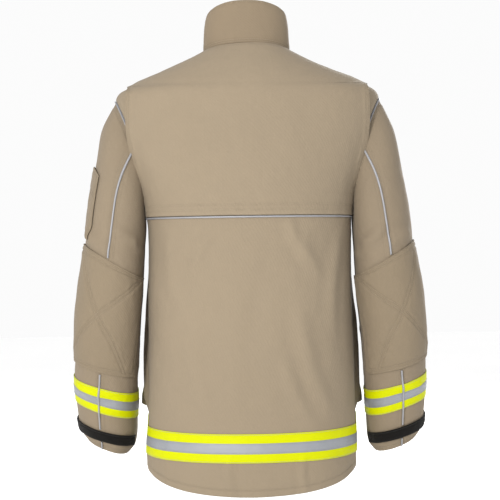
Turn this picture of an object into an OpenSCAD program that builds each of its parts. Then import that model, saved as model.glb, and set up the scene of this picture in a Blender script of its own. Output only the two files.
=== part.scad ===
// Turnout coat, worn shape. Millimetres, +Z up. The origin is the middle of the neck opening at the
// height of the back collar seam. The back faces +Y and the wearer's left is +X.

/* [Body] */
// Half width of the coat at the chest
chest_half_w = 186; // [176:1:194]
// Half width from shoulder tip to the middle
shoulder_half_w = 238; // [230:1:244]
// Distance from the middle out to the back of the chest
back_depth = 142; // [132:1:150]
// Distance from the middle out to the top of the zip
front_depth = 118; // [112:1:126]
// Length of the back from the collar seam to the hem
back_length = 801; // [780:1:820]
// Drop of the hem at the sides and front
side_length = 755; // [745:1:765]
// Squareness of the body's cross section, 2 is an ellipse
body_square = 2.2; // [2:0.1:2.6]

/* [Collar] */
// Half width of the neck opening
neck_half_w = 75; // [72:1:78]
// Height of the collar at the back
collar_h = 79; // [70:1:85]

/* [Cloth] */
// Thickness of the outer shell
shell_t = 3; // [2.5:0.1:3]
// Thickness of the thermal liner
liner_t = 3.5; // [3:0.1:3.5]
// Thickness of one sewn-on layer
layer_t = 2; // [1.5:0.1:2]
// Width of the hem reflective tape
hem_tape_w = 50.8; // [48:0.1:52]
// Width of a hook-and-loop cuff strap, as a share of one sleeve section
strap_share = 0.42; // [0.36:0.01:0.44]

/* [Armhole] */
// Half width of the armhole round the body, in degrees
armhole_turn = 25.5; // [24:0.5:26]
// Width of the reflective piping
piping_w = 3.4; // [3:0.1:3.8]

/* [Pockets] */
// Depth of a lower pocket at its foot
pocket_depth = 21; // [17:1:22]
// Depth of the radio pocket
radio_depth = 26; // [22:1:28]

/* [Zip] */
// Length of the zip
zip_length = 588; // [560:1:592]
// Distance between teeth on one side
tooth_pitch = 9; // [8:0.5:12]

/* [Hidden] */

khaki = "#b2a088";
khaki_dark = "#9a8468";
liner_colour = "#3a3a40";
lime = "#f4f21a";
grey_tape = "#c8c8cc";
black = "#1e1b17";
steel = "#b8b8bc";

// ---- Shapes that everything is built from ----

// The zip leans out by this much for each millimetre down
zip_slope = 0.034;
zip_lean = atan(zip_slope);
zip_top_z = -114;

// How far out the middle of the front stands at a height
function front_line(z) = front_depth + (zip_top_z - z) * zip_slope;

// Rings of the body from neck to hem: half width, back depth, front depth, and the heights of the
// ring at the back, side and front
BODY = [
  [neck_half_w, 62, 78, 0, -14, -70],
  [110, 78, 93, -19, -30, -81],
  [155, 96, 107, -43, -48, -94],
  [203, 113, front_line(-112), -71, -69, -112],
  [shoulder_half_w, 122, front_line(-136), -98, -97, -136],
  [chest_half_w + 36, back_depth - 6, front_line(-200), -190, -190, -200],
  [chest_half_w, back_depth, front_line(-300), -300, -300, -300],
  [chest_half_w - 2, back_depth - 3, front_line(-500), -500, -500, -500],
  [chest_half_w + 1, back_depth - 3, front_line(-690), -700, -690, -690],
  [chest_half_w + 2, back_depth - 5, front_line(-752), -back_length, -side_length, -752]
];
LAST = len(BODY) - 1;

// Rings of the collar from its top edge to the collar seam, in the same columns
COLLAR = [
  [neck_half_w - 5, 50, 74, collar_h, 50, -2],
  [neck_half_w - 3, 54, 75, 54, 31, -24],
  [neck_half_w - 1.5, 58, 76.5, 28, 9, -47],
  [neck_half_w, 62, 78, 0, -14, -70]
];

// Rings of the left sleeve from armhole to cuff: outer edge x and z, inner edge x and z, middle y,
// half depth and forward pitch in degrees
SLEEVE = [
  [238, -97, 187, -300, 0, 66, 0],
  [264, -150, 186, -325, 0, 77, 0],
  [278, -220, 188, -360, -2, 81, 0],
  [290, -305, 190, -395, -3, 82, 1],
  [303, -400, 192, -440, -4, 80, 3],
  [313, -480, 197, -505, -8, 77, 5],
  [317.5, -550, 203, -578, -22, 73, 8],
  [319.5, -620, 208, -652, -43, 67, 8],
  [313, -684, 212, -712, -64, 60, 10],
  [303, -704, 224, -732, -71, 57, 12]
];
sleeve_square = 2.3;
cuff = len(SLEEVE) - 1;

function unit(v) = v / norm(v);
function signed_pow(v, e) = sign(v) * pow(abs(v), e);
function smooth(t) = t * t * (3 - 2 * t);
function steps(a, b, n) = [for (i = [0 : n]) a + (b - a) * i / n];

// A smooth curve through rows p1 and p2 with their neighbours p0 and p3
function through(p0, p1, p2, p3, t) =
  p1 + 0.5 * t * ((p2 - p0) + t * ((2 * p0 - 5 * p1 + 4 * p2 - p3) + t * (3 * (p1 - p2) + p3 - p0)));
function ring_row(table, s) =
  let (last = len(table) - 1, i = max(0, min(floor(s), last - 1)))
  through(table[max(i - 1, 0)], table[i], table[i + 1], table[min(i + 2, last)], s - i);

// A point of a ringed surface. The angle runs from the back (0) over the left side (90) to the
// front (180)
function ring_point(table, a, s) =
  let (r = ring_row(table, s), c = cos(a), e = 2 / body_square)
  [
    r[0] * signed_pow(sin(a), e),
    (c > 0 ? r[1] : r[2]) * signed_pow(c, e),
    r[4] + (c > 0 ? r[3] - r[4] : r[4] - r[5]) * c
  ];
function ring_normal(table, a, s) =
  let (last = len(table) - 1)
  unit(cross(
    ring_point(table, a + 0.5, s) - ring_point(table, a - 0.5, s),
    ring_point(table, a, min(s + 0.02, last)) - ring_point(table, a, max(s - 0.02, 0))
  ));
function ringed(table, a, s, off) = ring_point(table, a, s) + off * ring_normal(table, a, s);
function body(a, s, off) = ringed(BODY, a, s, off);

// The ring number at which the body surface has a given height
function s_for(a, z, lo = 0, hi = LAST, k = 16) =
  let (mid = (lo + hi) / 2)
  k == 0 ? mid : ring_point(BODY, a, mid)[2] > z ? s_for(a, z, mid, hi, k - 1) : s_for(a, z, lo, mid, k - 1);
function body_z(a, z, off) = body(a, s_for(a, z), off);

// The angle at which a ring of the front reaches a distance x from the middle
function front_angle(x, s) = 180 - asin(pow(x / ring_row(BODY, s)[0], body_square / 2));
// The same on the back, no further round than the side
function back_angle(x, s) = asin(pow(min(1, x / ring_row(BODY, s)[0]), body_square / 2));

// Armhole: an ellipse over the body surface between rings tip and pit. grow is in ring numbers and
// widens it
tip = 4;
pit = 6;
hole_mid = (tip + pit) / 2;
hole_grow = 0.045;
function hole_turn(s, grow) =
  let (h = 1 + grow, u = (s - hole_mid) / h)
  abs(u) >= 1 ? 0 : (armhole_turn + 22 * grow) * sqrt(1 - u * u);
function hole_point(f, grow, off) =
  body(90 - (armhole_turn + 22 * grow) * sin(f), hole_mid - (1 + grow) * cos(f), off);

// A point of the left sleeve. The angle runs from the outer edge (0) over the back (90) to the
// inner edge (180)
function sleeve_ring(f, t) =
  let (r = ring_row(SLEEVE, t), e = 2 / sleeve_square, u = signed_pow(cos(f), e), v = signed_pow(sin(f), e))
  [
    (r[0] + r[2]) / 2 + (r[0] - r[2]) / 2 * u,
    r[4] + r[5] * cos(r[6]) * v,
    (r[1] + r[3]) / 2 + (r[1] - r[3]) / 2 * u - r[5] * sin(r[6]) * v
  ];
function sleeve_point(f, t) =
  t >= 2 ? sleeve_ring(f, t)
         : sleeve_ring(f, t) + (1 - smooth(max(t, 0) / 2)) * (hole_point(f, -hole_grow, 0) - sleeve_ring(f, 0));
function sleeve(f, t, off) =
  sleeve_point(f, t) + off * unit(cross(
    sleeve_point(f, min(t + 0.02, cuff)) - sleeve_point(f, max(t - 0.02, 0)),
    sleeve_point(f + 0.5, t) - sleeve_point(f - 0.5, t)
  ));

// A closed wall between two grids of points of the same size. Rows run down and columns run to
// the left as seen from outside. A closed wall joins its last column to its first
module wall(outer, inner, closed = false) {
  n = len(outer);
  m = len(outer[0]);
  cols = closed ? m - 1 : m - 2;
  points = [for (grid = [outer, inner]) for (row = grid) for (p = row) p];
  function o(i, j) = i * m + j % m;
  function w(i, j) = n * m + i * m + j % m;
  faces = [
    for (i = [0 : n - 2]) for (j = [0 : cols]) each [
      [o(i, j), o(i + 1, j), o(i + 1, j + 1)], [o(i, j), o(i + 1, j + 1), o(i, j + 1)],
      [w(i, j), w(i + 1, j + 1), w(i + 1, j)], [w(i, j), w(i, j + 1), w(i + 1, j + 1)]
    ],
    for (j = [0 : cols]) each [
      [o(0, j), o(0, j + 1), w(0, j + 1)], [o(0, j), w(0, j + 1), w(0, j)],
      [o(n - 1, j + 1), o(n - 1, j), w(n - 1, j)], [o(n - 1, j + 1), w(n - 1, j), w(n - 1, j + 1)]
    ],
    if (!closed) for (i = [0 : n - 2]) each [
      [o(i + 1, 0), o(i, 0), w(i, 0)], [o(i + 1, 0), w(i, 0), w(i + 1, 0)],
      [o(i, m - 1), o(i + 1, m - 1), w(i + 1, m - 1)], [o(i, m - 1), w(i + 1, m - 1), w(i, m - 1)]
    ]
  ];
  polyhedron(points = points, faces = faces);
}

// A piece of cloth on the body: for each ring number, from angle a0(s) to angle a1(s)
module body_cloth(rows, from, to, cols, low, high) {
  wall(
    [for (i = [0 : len(rows) - 1]) [for (a = steps(from[i], to[i], cols)) body(a, rows[i], high)]],
    [for (i = [0 : len(rows) - 1]) [for (a = steps(from[i], to[i], cols)) body(a, rows[i], low)]]
  );
}

// A piece of cloth on the body between two heights that may differ at its two ends. Its outer face
// stands off by high[0] at the top and high[1] at the foot
module body_band(a0, a1, cols, top, foot, rows, low, high) {
  wall(
    [for (v = steps(0, 1, rows)) [for (u = steps(0, 1, cols))
      body_z(a0 + (a1 - a0) * u, band_z(top, foot, u, v), high[0] + (high[1] - high[0]) * v)]],
    [for (v = steps(0, 1, rows)) [for (u = steps(0, 1, cols))
      body_z(a0 + (a1 - a0) * u, band_z(top, foot, u, v), low[0] + (low[1] - low[0]) * v)]]
  );
}
function band_z(top, foot, u, v) =
  let (a = top[0] + (top[1] - top[0]) * u, b = foot[0] + (foot[1] - foot[0]) * u) a + (b - a) * v;

// A piece of cloth on the collar
module collar_cloth(a0, a1, cols, s0, s1, rows, low, high) {
  wall(
    [for (s = steps(s0, s1, rows)) [for (a = steps(a0, a1, cols)) ringed(COLLAR, a, s, high)]],
    [for (s = steps(s0, s1, rows)) [for (a = steps(a0, a1, cols)) ringed(COLLAR, a, s, low)]]
  );
}

// A length of sleeve tube, as a left sleeve
module sleeve_tube(t0, t1, rows, low, high, cols = 20) {
  wall(
    [for (t = steps(t0, t1, rows)) [for (j = [0 : cols - 1]) sleeve(-360 * j / cols, t, high)]],
    [for (t = steps(t0, t1, rows)) [for (j = [0 : cols - 1]) sleeve(-360 * j / cols, t, low)]],
    closed = true
  );
}

// A patch on the left sleeve between angles f0 and f1, each given at the top and at the foot
module sleeve_cloth(t0, t1, rows, f0, f1, cols, low, high) {
  wall(
    [for (v = steps(0, 1, rows)) [for (u = steps(0, 1, cols))
      sleeve(patch_f(f0, f1, u, v), t0 + (t1 - t0) * v, high)]],
    [for (v = steps(0, 1, rows)) [for (u = steps(0, 1, cols))
      sleeve(patch_f(f0, f1, u, v), t0 + (t1 - t0) * v, low)]]
  );
}
function patch_f(f0, f1, u, v) =
  let (a = f0[0] + (f0[1] - f0[0]) * v, b = f1[0] + (f1[1] - f1[0]) * v) b + (a - b) * u;

module right_side() { mirror([1, 0, 0]) children(); }

// The frame of the zip: its local Z runs along the zip and its local -Y points out of the coat
module zip_frame() { translate([0, -front_depth, zip_top_z]) rotate([-zip_lean, 0, 0]) children(); }

// ---- Shell of the body ----

side_gap = 0.12;
front_edge_x = 6.5;
SHOULDER_ROWS = steps(0, 3.55, 7);
BODY_ROWS = concat(
  SHOULDER_ROWS,
  [for (k = [0 : 12]) hole_mid - (1 + hole_grow) * cos(15 * k)],
  steps(6.5, LAST, 7)
);
FRONT_EDGE = [for (s = BODY_ROWS) front_angle(front_edge_x, s)];
BACK_EDGE = [for (s = BODY_ROWS) 90 - side_gap - hole_turn(s, hole_grow)];
SIDE_EDGE = [for (s = BODY_ROWS) 90 + side_gap + hole_turn(s, hole_grow)];

module back_panel() {
  color(khaki) body_cloth(BODY_ROWS, -BACK_EDGE, BACK_EDGE, 18, -shell_t, 0);
}
module front_panel() {
  color(khaki) body_cloth(BODY_ROWS, SIDE_EDGE, FRONT_EDGE, 10, -shell_t, 0);
}

// Thermal liner: a back and two fronts inside the shell
liner_out = -shell_t - 2;
module torso_liner() {
  rows = concat(
    steps(0.15, 3.5, 5),
    [for (k = [0 : 1.5 : 12]) hole_mid - (1 + 2 * hole_grow) * cos(15 * k)],
    steps(6.5, 8.7, 5)
  );
  inner = [for (s = rows) front_angle(26, s)];
  back = [for (s = rows) 90 - 3 * side_gap - hole_turn(s, 2 * hole_grow)];
  side = [for (s = rows) 90 + 3 * side_gap + hole_turn(s, 2 * hole_grow)];
  color(liner_colour) {
    body_cloth(rows, -back, back, 14, liner_out - liner_t, liner_out);
    body_cloth(rows, side, inner, 6, liner_out - liner_t, liner_out);
    right_side() body_cloth(rows, side, inner, 6, liner_out - liner_t, liner_out);
  }
}

// Yoke: from the collar seam over the shoulders to its free lower edge
yoke_low = 2;
yoke_foot_z = -307;
yoke_wrap = 34;
yoke_corner = 3.25;
yoke_side_turn = 77;
YOKE_X = [[-312, 184], [-282, 191], [-238, 198], [-190, 206], [-142, 212], [0, 211]];
module back_yoke() {
  foot = s_for(0, yoke_foot_z);
  top = concat([0.12], [for (k = [1 : 6]) SHOULDER_ROWS[k]]);
  rows = concat(top, [yoke_corner, 3.38, SHOULDER_ROWS[7], 3.75, tip - 0.05], steps(tip + 0.12, foot, 7));
  edge = [for (s = rows)
    s < yoke_corner ? 90 - side_gap
      : min(s > 5.8 ? yoke_side_turn : 90 - side_gap, back_angle(lookup(ring_row(BODY, s)[4], YOKE_X), s),
          89 - hole_turn(s, hole_grow + 0.03))];
  // The part that wraps over each shoulder to the front narrows towards the corner
  wrap = [for (s = top) 92 + yoke_wrap * (1 - smooth(max(0, s - 2.1)))];
  side = [for (s = top) 90 + side_gap];
  color(khaki) {
    body_cloth(rows, -edge, edge, 18, yoke_low, yoke_low + layer_t);
    body_cloth(top, side, wrap, 3, yoke_low, yoke_low + layer_t);
    right_side() body_cloth(top, side, wrap, 3, yoke_low, yoke_low + layer_t);
  }
}
module yoke_piping() {
  top = s_for(0, yoke_foot_z - 0.8);
  foot = s_for(0, yoke_foot_z - 0.8 - piping_w);
  edge = yoke_side_turn;
  color(grey_tape) body_cloth([top, foot], [-edge, -edge], [edge, edge], 28, 0.9, 3.6);
}

// Piping in the armhole seam
module armhole_piping() {
  cols = 24;
  grow = [0.014, -0.014];
  color(grey_tape) wall(
    [for (g = grow) [for (j = [0 : cols - 1]) hole_point(-360 * j / cols, g, 0.4)]],
    [for (g = grow) [for (j = [0 : cols - 1]) hole_point(-360 * j / cols, g, -2.4)]],
    closed = true
  );
}

// ---- Collar ----

collar_gap = 3;
module collar_shell() {
  color(khaki_dark) collar_cloth(-180 + collar_gap, 180 - collar_gap, 30, 0, 2.88, 3, 0.2, 2.8);
}
module collar_lining() {
  color(khaki_dark) collar_cloth(-180 + collar_gap, 180 - collar_gap, 30, 0.06, 2.84, 3, -3, -0.4);
}
module collar_loop_strip() {
  color(black) collar_cloth(-176, -148, 4, 0.9, 2.4, 3, 3.1, 3.9);
}
module throat_tab() {
  color(khaki_dark) collar_cloth(-180 - 38, -180 + 36, 10, 0.75, 2.55, 3, 4.4, 7.4);
}
// Webbing loop inside the back of the neck
module hang_loop() {
  color(black) translate([0, 0, -16]) linear_extrude(9) polygon([
    [-36, 45], [-34, 47], [-16, 38.6], [0, 37.2], [16, 38.6], [34, 47], [36, 45],
    [17, 36.3], [0, 34.8], [-17, 36.3]
  ]);
}

// ---- Reflective tape on the hem ----

tape_low = 1;
tape_high = 2;
module hem_tape(a0, a1, cols, top) {
  foot = [for (z = top) z - hem_tape_w];
  body_band(a0, a1, cols, top, foot, 3, [tape_low, tape_low], [tape_high, tape_high]);
}
back_tape_side_z = -681;
back_tape_mid_z = -690;
module back_hem_tape() {
  color(lime) {
    hem_tape(0.05, 89, 12, [back_tape_mid_z, back_tape_side_z]);
    right_side() hem_tape(0.05, 89, 12, [back_tape_mid_z, back_tape_side_z]);
  }
}
module front_hem_tape() {
  color(lime) hem_tape(91, front_angle(48, 8), 10, [-664, -657]);
}

// ---- Zip ----

chain_mid = -5;
chain_h = 3.4;
module zip_tapes() {
  color(black) zip_frame() for (side = [-1, 1])
    translate([side * 11.6 - 8.4, -(chain_mid + 0.5), -zip_length]) cube([16.8, 1, zip_length]);
}
module zip_chain() {
  color(steel) zip_frame() for (side = [-1, 1]) for (k = [1 : floor(zip_length / tooth_pitch) - 1])
    translate([side * 1.85 - 1.15, -(chain_mid + chain_h / 2), -k * tooth_pitch - side * tooth_pitch / 4])
      cube([2.3, chain_h, tooth_pitch * 0.42]);
}
module zip_stops() {
  color(steel) zip_frame() {
    for (side = [-1, 1]) translate([side * 1.95 - 1, -(chain_mid + 1.7), -2]) cube([2, 3.4, 5]);
    translate([-5, -(chain_mid + 2.2), -zip_length - 8]) cube([10, 4.4, 6.5]);
  }
}
// Slider: two plates joined by a web that runs between the rows of teeth
slider_top = -6;
slider_len = 16;
plate_w = 10.8;
plate_front = -1.6;
plate_back = 7.1;
web_t = 0.6;
bail_z = slider_top - 7;
bail_out = 4.4;
bail_r = 0.9;
module zip_slider() {
  foot = slider_top - slider_len;
  color(steel) zip_frame() {
    translate([-plate_w / 2, plate_front, foot]) cube([plate_w, 2, slider_len]);
    translate([-plate_w / 2, plate_back, foot]) cube([plate_w, 2, slider_len]);
    translate([-web_t / 2, plate_front + 1, foot + 2]) cube([web_t, plate_back - plate_front, slider_len - 4]);
    for (side = [-1, 1])
      translate([side * 2.9 - 0.5, -bail_out - 1.2, bail_z - 1.5]) cube([1, bail_out + 0.8, 3]);
    translate([-2.9, -bail_out, bail_z]) rotate([0, 90, 0]) cylinder(h = 5.8, r = bail_r, $fn = 32);
  }
}
module zip_pull() {
  color(steel) zip_frame() translate([0, -bail_out, bail_z]) difference() {
    union() {
      translate([-2, 0, 0]) rotate([0, 90, 0]) cylinder(h = 4, r = 2.2, $fn = 32);
      translate([-2, -0.7, -8]) cube([4, 1.4, 7]);
      translate([0, 0.7, -8]) rotate([90, 0, 0]) linear_extrude(1.4)
        polygon([[-2, 1], [2, 1], [4, -4], [4, -26], [2, -28], [-2, -28], [-4, -26], [-4, -4]]);
    }
    translate([-3, 0, 0]) rotate([0, 90, 0]) cylinder(h = 6, r = bail_r + 0.3, $fn = 32);
    translate([0, 2, -31]) rotate([90, 0, 0]) cylinder(h = 4, r = 1.6, $fn = 32);
  }
}

// ---- Storm flap ----

flap_top = -54;
flap_foot = -622;
flap_hinge_x = 42;
flap_free_x = -37;
module flap_profile(from, to, low, high) {
  // Height of the arched flap's inner face over the zip at a distance across
  function arch(x) = -1 + 9.6 * pow(cos(90 * (x - 2.5) / 40), 0.8);
  xs = steps(from, to, 12);
  polygon(concat([for (x = xs) [x, -arch(x) - low]], [for (i = [12 : -1 : 0]) [xs[i], -arch(xs[i]) - high]]));
}
module storm_flap() {
  color(khaki) zip_frame() translate([0, 0, flap_foot]) linear_extrude(flap_top - flap_foot)
    flap_profile(flap_free_x, flap_hinge_x, 0, 3);
}
module flap_hem_tape() {
  color(lime) zip_frame() translate([0, 0, -595]) linear_extrude(hem_tape_w)
    flap_profile(flap_free_x + 1, flap_hinge_x - 1, 3.3, 4.2);
}
module flap_hook_strip() {
  color(black) zip_frame() translate([0, 0, flap_foot + 20]) linear_extrude(flap_top - flap_foot - 40)
    flap_profile(flap_free_x + 2, flap_free_x + 17, -1.1, -0.3);
}
module flap_loop_strip() {
  color(black) zip_frame() translate([0, 0, flap_foot + 20]) linear_extrude(flap_top - flap_foot - 40)
    polygon([[-33, 0.8], [-33, 0.1], [-19, -0.9], [-19, -0.2]]);
}

// ---- Pockets ----

pocket_a0 = 106;
pocket_a1 = 161;
pocket_top = -500;
pocket_foot = -655;
pocket_wall = 2.2;
// A bellows pocket between two angles, open at its top, with its depth at the mouth and the foot
module bellows(a0, a1, cols, top, foot, mouth_depth, foot_depth) {
  side = pocket_wall * 0.6;
  hollow_foot = foot + pocket_wall * 1.5;
  difference() {
    body_band(a0, a1, cols, [top, top], [foot, foot], 4, [1.4, 1.4], [mouth_depth, foot_depth]);
    body_band(a0 + side, a1 - side, cols, [top + 6, top + 6], [hollow_foot, hollow_foot], 4,
      [1.4 + pocket_wall, 1.4 + pocket_wall], [mouth_depth - pocket_wall, foot_depth - pocket_wall]);
  }
}
module lower_pocket() {
  color(khaki) bellows(pocket_a0, pocket_a1, 9, pocket_top, pocket_foot, 10.6, pocket_depth);
}
module pocket_flap() {
  color(khaki) body_band(pocket_a0 - 1, pocket_a1 + 1, 10, [-484, -484], [-552, -552], 3,
    [11, 16], [13.5, 18.5]);
}
radio_a0 = -152;
radio_a1 = -124;
module radio_pocket() {
  color(khaki) bellows(radio_a0, radio_a1, 5, -236, -392, radio_depth, radio_depth);
}
module radio_flap() {
  color(khaki) body_band(radio_a0 - 1.5, radio_a1 + 1.5, 6, [-226, -226], [-292, -292], 3,
    [radio_depth + 2, radio_depth + 2], [radio_depth + 4.5, radio_depth + 4.5]);
}
module name_panel() {
  color(black) body_band(128, 154, 5, [-236, -236], [-262, -262], 1, [1.4, 1.4], [2.6, 2.6]);
}
module mic_tab() {
  color(khaki_dark) body_band(136, 150, 3, [-176, -176], [-196, -196], 1, [1.4, 1.4], [5.5, 5.5]);
}

// ---- Sleeves, drawn as left sleeves ----

sleeve_t = 2.6;
cap_end = 1.9;
elbow_top = 4;
elbow_foot = 6;
seam_f = 84;
module sleeve_cap() { color(khaki) sleeve_tube(0, cap_end - 0.01, 5, -sleeve_t, 0); }
module upper_sleeve() { color(khaki) sleeve_tube(cap_end, elbow_top, 4, -sleeve_t, 0); }
module elbow_section() { color(khaki) sleeve_tube(elbow_top + 0.02, elbow_foot - 0.02, 4, -sleeve_t, 0); }
module forearm_sleeve() { color(khaki) sleeve_tube(elbow_foot, cuff, 6, -sleeve_t, 0); }
module upper_liner() { color(liner_colour) sleeve_tube(cap_end, elbow_top, 3, -7.6, -5); }
module forearm_liner() { color(liner_colour) sleeve_tube(elbow_foot, 8.2, 3, -7.6, -5); }
module wristlet() { color(black) sleeve_tube(7.7, 8.9, 2, -13, -10); }
module elbow_patch() {
  color(khaki_dark) sleeve_cloth(3.5, 6.15, 7, [-24, -16], [168, 146], 12, 1.6, 3.4);
}
module seam_piping() {
  color(grey_tape) sleeve_cloth(1.25, 3.46, 9, [seam_f, seam_f - 2], [seam_f + 3, seam_f + 1], 1, 0.5, 2.6);
}
module forearm_piping() {
  color(grey_tape) sleeve_cloth(6.2, 6.52, 2, [seam_f - 2, seam_f - 3], [seam_f + 1, seam_f], 1, 0.5, 2.6);
}
module sleeve_tape() { color(lime) sleeve_tube(6.55, 7.21, 2, 0.9, 1.9); }
strap_top = 7.7;
strap_end = 156;
module cuff_strap() {
  color(black) sleeve_cloth(strap_top, strap_top + strap_share, 2, [-12, -12], [strap_end, strap_end], 13, 1.2, 4);
}
module sleeve_pocket() {
  color(khaki) sleeve_cloth(cap_end + 0.02, 3.35, 6, [-70, -62], [44, 40], 9, 1.2, 5.5);
}

// ---- Nodes ----

back_panel();
front_panel();  // front_panel_left
right_side() front_panel();  // front_panel_right
back_yoke();
yoke_piping();
armhole_piping();  // armhole_piping_left
right_side() armhole_piping();  // armhole_piping_right
torso_liner();
collar_shell();
collar_lining();
collar_loop_strip();
throat_tab();
hang_loop();
back_hem_tape();
front_hem_tape();  // front_hem_tape_left
right_side() front_hem_tape();  // front_hem_tape_right
zip_tapes();
zip_chain();
zip_stops();
zip_slider();
zip_pull();
storm_flap();
flap_hook_strip();
flap_loop_strip();
flap_hem_tape();
lower_pocket();  // lower_pocket_left
right_side() lower_pocket();  // lower_pocket_right
pocket_flap();  // pocket_flap_left
right_side() pocket_flap();  // pocket_flap_right
radio_pocket();
radio_flap();
name_panel();
mic_tab();
sleeve_cap();  // sleeve_cap_left
right_side() sleeve_cap();  // sleeve_cap_right
upper_sleeve();  // upper_sleeve_left
right_side() upper_sleeve();  // upper_sleeve_right
elbow_section();  // elbow_section_left
right_side() elbow_section();  // elbow_section_right
forearm_sleeve();  // forearm_sleeve_left
right_side() forearm_sleeve();  // forearm_sleeve_right
elbow_patch();  // elbow_patch_left
right_side() elbow_patch();  // elbow_patch_right
seam_piping();  // seam_piping_left
right_side() seam_piping();  // seam_piping_right
forearm_piping();  // forearm_piping_left
right_side() forearm_piping();  // forearm_piping_right
sleeve_tape();  // sleeve_tape_left
right_side() sleeve_tape();  // sleeve_tape_right
cuff_strap();  // cuff_strap_left
right_side() cuff_strap();  // cuff_strap_right
wristlet();  // wristlet_left
right_side() wristlet();  // wristlet_right
upper_liner();  // upper_liner_left
right_side() upper_liner();  // upper_liner_right
forearm_liner();  // forearm_liner_left
right_side() forearm_liner();  // forearm_liner_right
sleeve_pocket();
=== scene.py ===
import math
import bpy
import numpy as np
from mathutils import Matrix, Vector, kdtree


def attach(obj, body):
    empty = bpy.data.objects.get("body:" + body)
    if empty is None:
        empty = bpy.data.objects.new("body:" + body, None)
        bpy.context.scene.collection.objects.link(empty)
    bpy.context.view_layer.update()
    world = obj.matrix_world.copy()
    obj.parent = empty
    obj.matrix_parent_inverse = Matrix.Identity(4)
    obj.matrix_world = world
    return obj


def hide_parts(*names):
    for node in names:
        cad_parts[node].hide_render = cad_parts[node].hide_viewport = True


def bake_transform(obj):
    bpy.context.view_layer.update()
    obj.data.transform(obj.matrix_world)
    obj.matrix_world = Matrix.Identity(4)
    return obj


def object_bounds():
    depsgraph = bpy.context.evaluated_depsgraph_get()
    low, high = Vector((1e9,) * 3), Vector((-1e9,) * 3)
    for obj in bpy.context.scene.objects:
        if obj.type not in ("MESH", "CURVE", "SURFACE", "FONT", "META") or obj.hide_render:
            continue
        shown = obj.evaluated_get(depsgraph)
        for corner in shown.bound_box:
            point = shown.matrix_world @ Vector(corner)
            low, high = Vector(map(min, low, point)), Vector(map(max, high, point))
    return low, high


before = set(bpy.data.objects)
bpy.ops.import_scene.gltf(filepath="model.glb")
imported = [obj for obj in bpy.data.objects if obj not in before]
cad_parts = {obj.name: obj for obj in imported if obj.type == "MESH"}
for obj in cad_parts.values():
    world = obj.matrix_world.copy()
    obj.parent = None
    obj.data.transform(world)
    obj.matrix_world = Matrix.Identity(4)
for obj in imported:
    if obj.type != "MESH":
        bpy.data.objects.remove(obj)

CAD_BOX = [list(v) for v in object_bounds()]

# -------- camera, lights and floor
# the photo's view, in degrees and metres
FIELD_OF_VIEW = 12.91
CAMERA_ROLL = -0.75
CAMERA_AT = (-0.0013, 4.0, -0.368)
WORLD_LIGHT = 0.97

scene = bpy.context.scene
cam_data = bpy.data.cameras.new("camera")
cam_data.sensor_width = 36
cam_data.lens = cam_data.sensor_width / 2 / math.tan(math.radians(FIELD_OF_VIEW / 2))
camera = bpy.data.objects.new("camera", cam_data)
scene.collection.objects.link(camera)
camera.location = CAMERA_AT
camera.rotation_mode = "QUATERNION"
camera.rotation_quaternion = Vector((0, -1, 0)).to_track_quat("-Z", "Y")
camera.rotation_mode = "XYZ"
camera.rotation_euler.rotate_axis("Z", math.radians(CAMERA_ROLL))
scene.camera = camera


def light(name, at, aim, size, power, colour=(1, 1, 1)):
    data = bpy.data.lights.new(name, "AREA")
    data.shape, data.size, data.energy, data.color = "DISK", size, power, colour
    o = bpy.data.objects.new(name, data)
    scene.collection.objects.link(o)
    o.location = at
    o.rotation_euler = (Vector(aim) - Vector(at)).to_track_quat("-Z", "Y").to_euler()


light("key", (1.45, 3.4, 0.3), (0, 0.05, -0.4), 0.5, 112, (1.0, 0.985, 0.965))
light("fill", (-2.4, 2.2, 0.3), (0, 0, -0.4), 2.2, 3)
light("front_key", (-1.3, -3.3, 0.8), (0, 0, -0.4), 0.8, 100)
light("top", (0.2, 0.3, 2.4), (0, 0, -0.3), 1.6, 6)

scene.view_settings.view_transform = "Standard"
world = bpy.data.worlds.new("studio")
scene.world = world
world.use_nodes = True
world.node_tree.nodes["Background"].inputs["Color"].default_value = (1, 1, 1, 1)
world.node_tree.nodes["Background"].inputs["Strength"].default_value = WORLD_LIGHT

# -------- surfaces, in millimetres
# the zip leans forward from its top at this depth and height
ZIP_SLOPE = 0.034
ZIP_LEAN = math.atan(ZIP_SLOPE)
ZIP_TOP = -114.0
ZIP_DEPTH = 118
front_line = lambda z: ZIP_DEPTH + (ZIP_TOP - z) * ZIP_SLOPE

# rings of the body and collar: half width, depth behind and in front, height behind, at the side and in front
BODY = np.array([
    [75, 62, 78, 0, -14, -70],
    [110, 78, 93, -19, -30, -81],
    [155, 96, 107, -43, -48, -94],
    [203, 113, front_line(-112), -71, -69, -112],
    [238, 122, front_line(-136), -98, -97, -136],
    [222, 136, front_line(-200), -190, -190, -200],
    [186, 142, front_line(-300), -300, -300, -300],
    [184, 139, front_line(-500), -500, -500, -500],
    [187, 139, front_line(-690), -700, -690, -690],
    [188, 137, front_line(-752), -801, -755, -752],
], float)
COLLAR = np.array([
    [70, 50, 74, 79, 50, -2],
    [72, 54, 75, 54, 31, -24],
    [73.5, 58, 76.5, 28, 9, -47],
    [75, 62, 78, 0, -14, -70],
], float)
# rings of the left sleeve: outer edge (x, z), inner edge (x, z), middle y, half depth, tilt in degrees
SLEEVE = np.array([
    [238, -97, 187, -300, 0, 66, 0],
    [264, -150, 186, -325, 0, 77, 0],
    [278, -220, 188, -360, -2, 81, 0],
    [290, -305, 190, -395, -3, 82, 1],
    [303, -400, 192, -440, -4, 80, 3],
    [313, -480, 197, -505, -8, 77, 5],
    [317.5, -550, 203, -578, -22, 73, 8],
    [319.5, -620, 208, -652, -43, 67, 8],
    [313, -684, 212, -712, -64, 60, 10],
    [303, -704, 224, -732, -71, 57, 12],
], float)
BODY_LAST = len(BODY) - 1
SLEEVE_LAST = len(SLEEVE) - 1
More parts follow.
